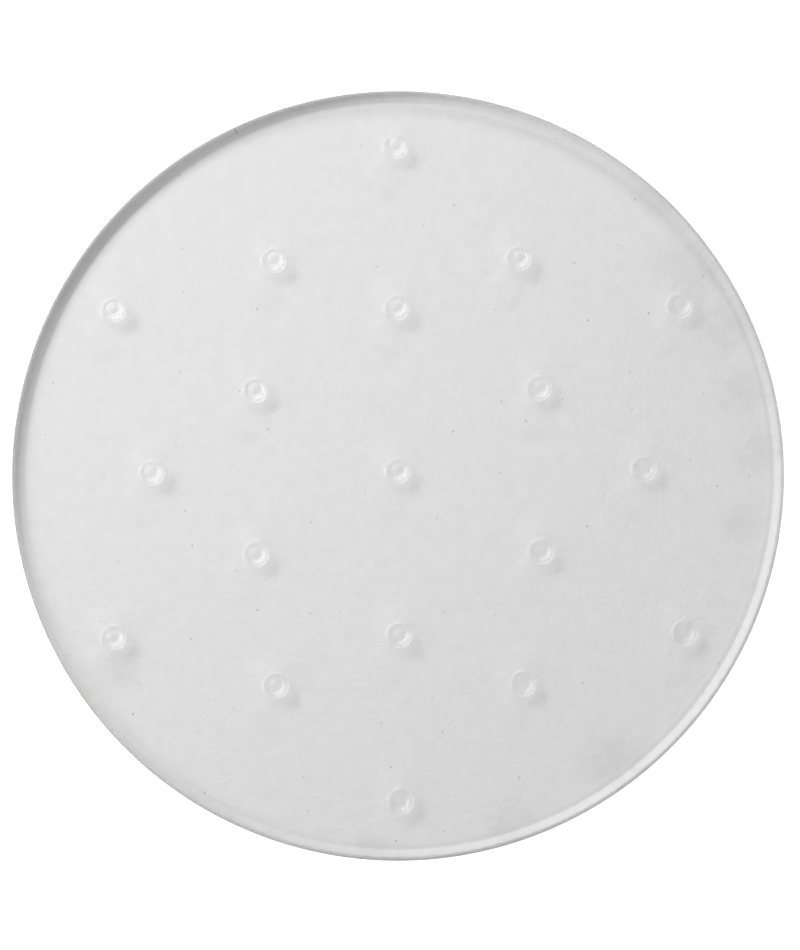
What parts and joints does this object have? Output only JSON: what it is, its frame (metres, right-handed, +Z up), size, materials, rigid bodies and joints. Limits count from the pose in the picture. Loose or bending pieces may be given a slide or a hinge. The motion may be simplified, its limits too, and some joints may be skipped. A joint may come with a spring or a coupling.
{
  "type": "snowboard stomp pad",
  "caption": "Round clear stick-on grip mat with a rounded rim and conical studs, on clear adhesive with a peel-off paper liner; a boot rests on it between bindings.",
  "frame": {"origin": "centre of the release liner's underside, on the surface that the pad lies on", "axes": "+Z up out of the studded face; the outermost studs lie on the +Y and -Y axes; +X to the right as seen from above with +Y away"},
  "size_m": [0.12, 0.12, 0.0058],
  "materials": {
    "clear_urethane": "clear, moulded, glossy with a faint ripple",
    "clear_adhesive": "clear pressure-sensitive sheet",
    "liner_paper": "white siliconised kraft, smooth and matt"
  },
  "bodies": {
    "liner": {"release_liner": "liner_paper"},
    "pad": {"pad_moulding": "clear_urethane", "adhesive_sheet": "clear_adhesive"}
  },
  "joints": [
    {"name": "liner_peel", "type": "slide", "parent": "liner", "child": "pad", "axis": [0, 0, 1], "range_m": [0, 0.025]}
  ]
}
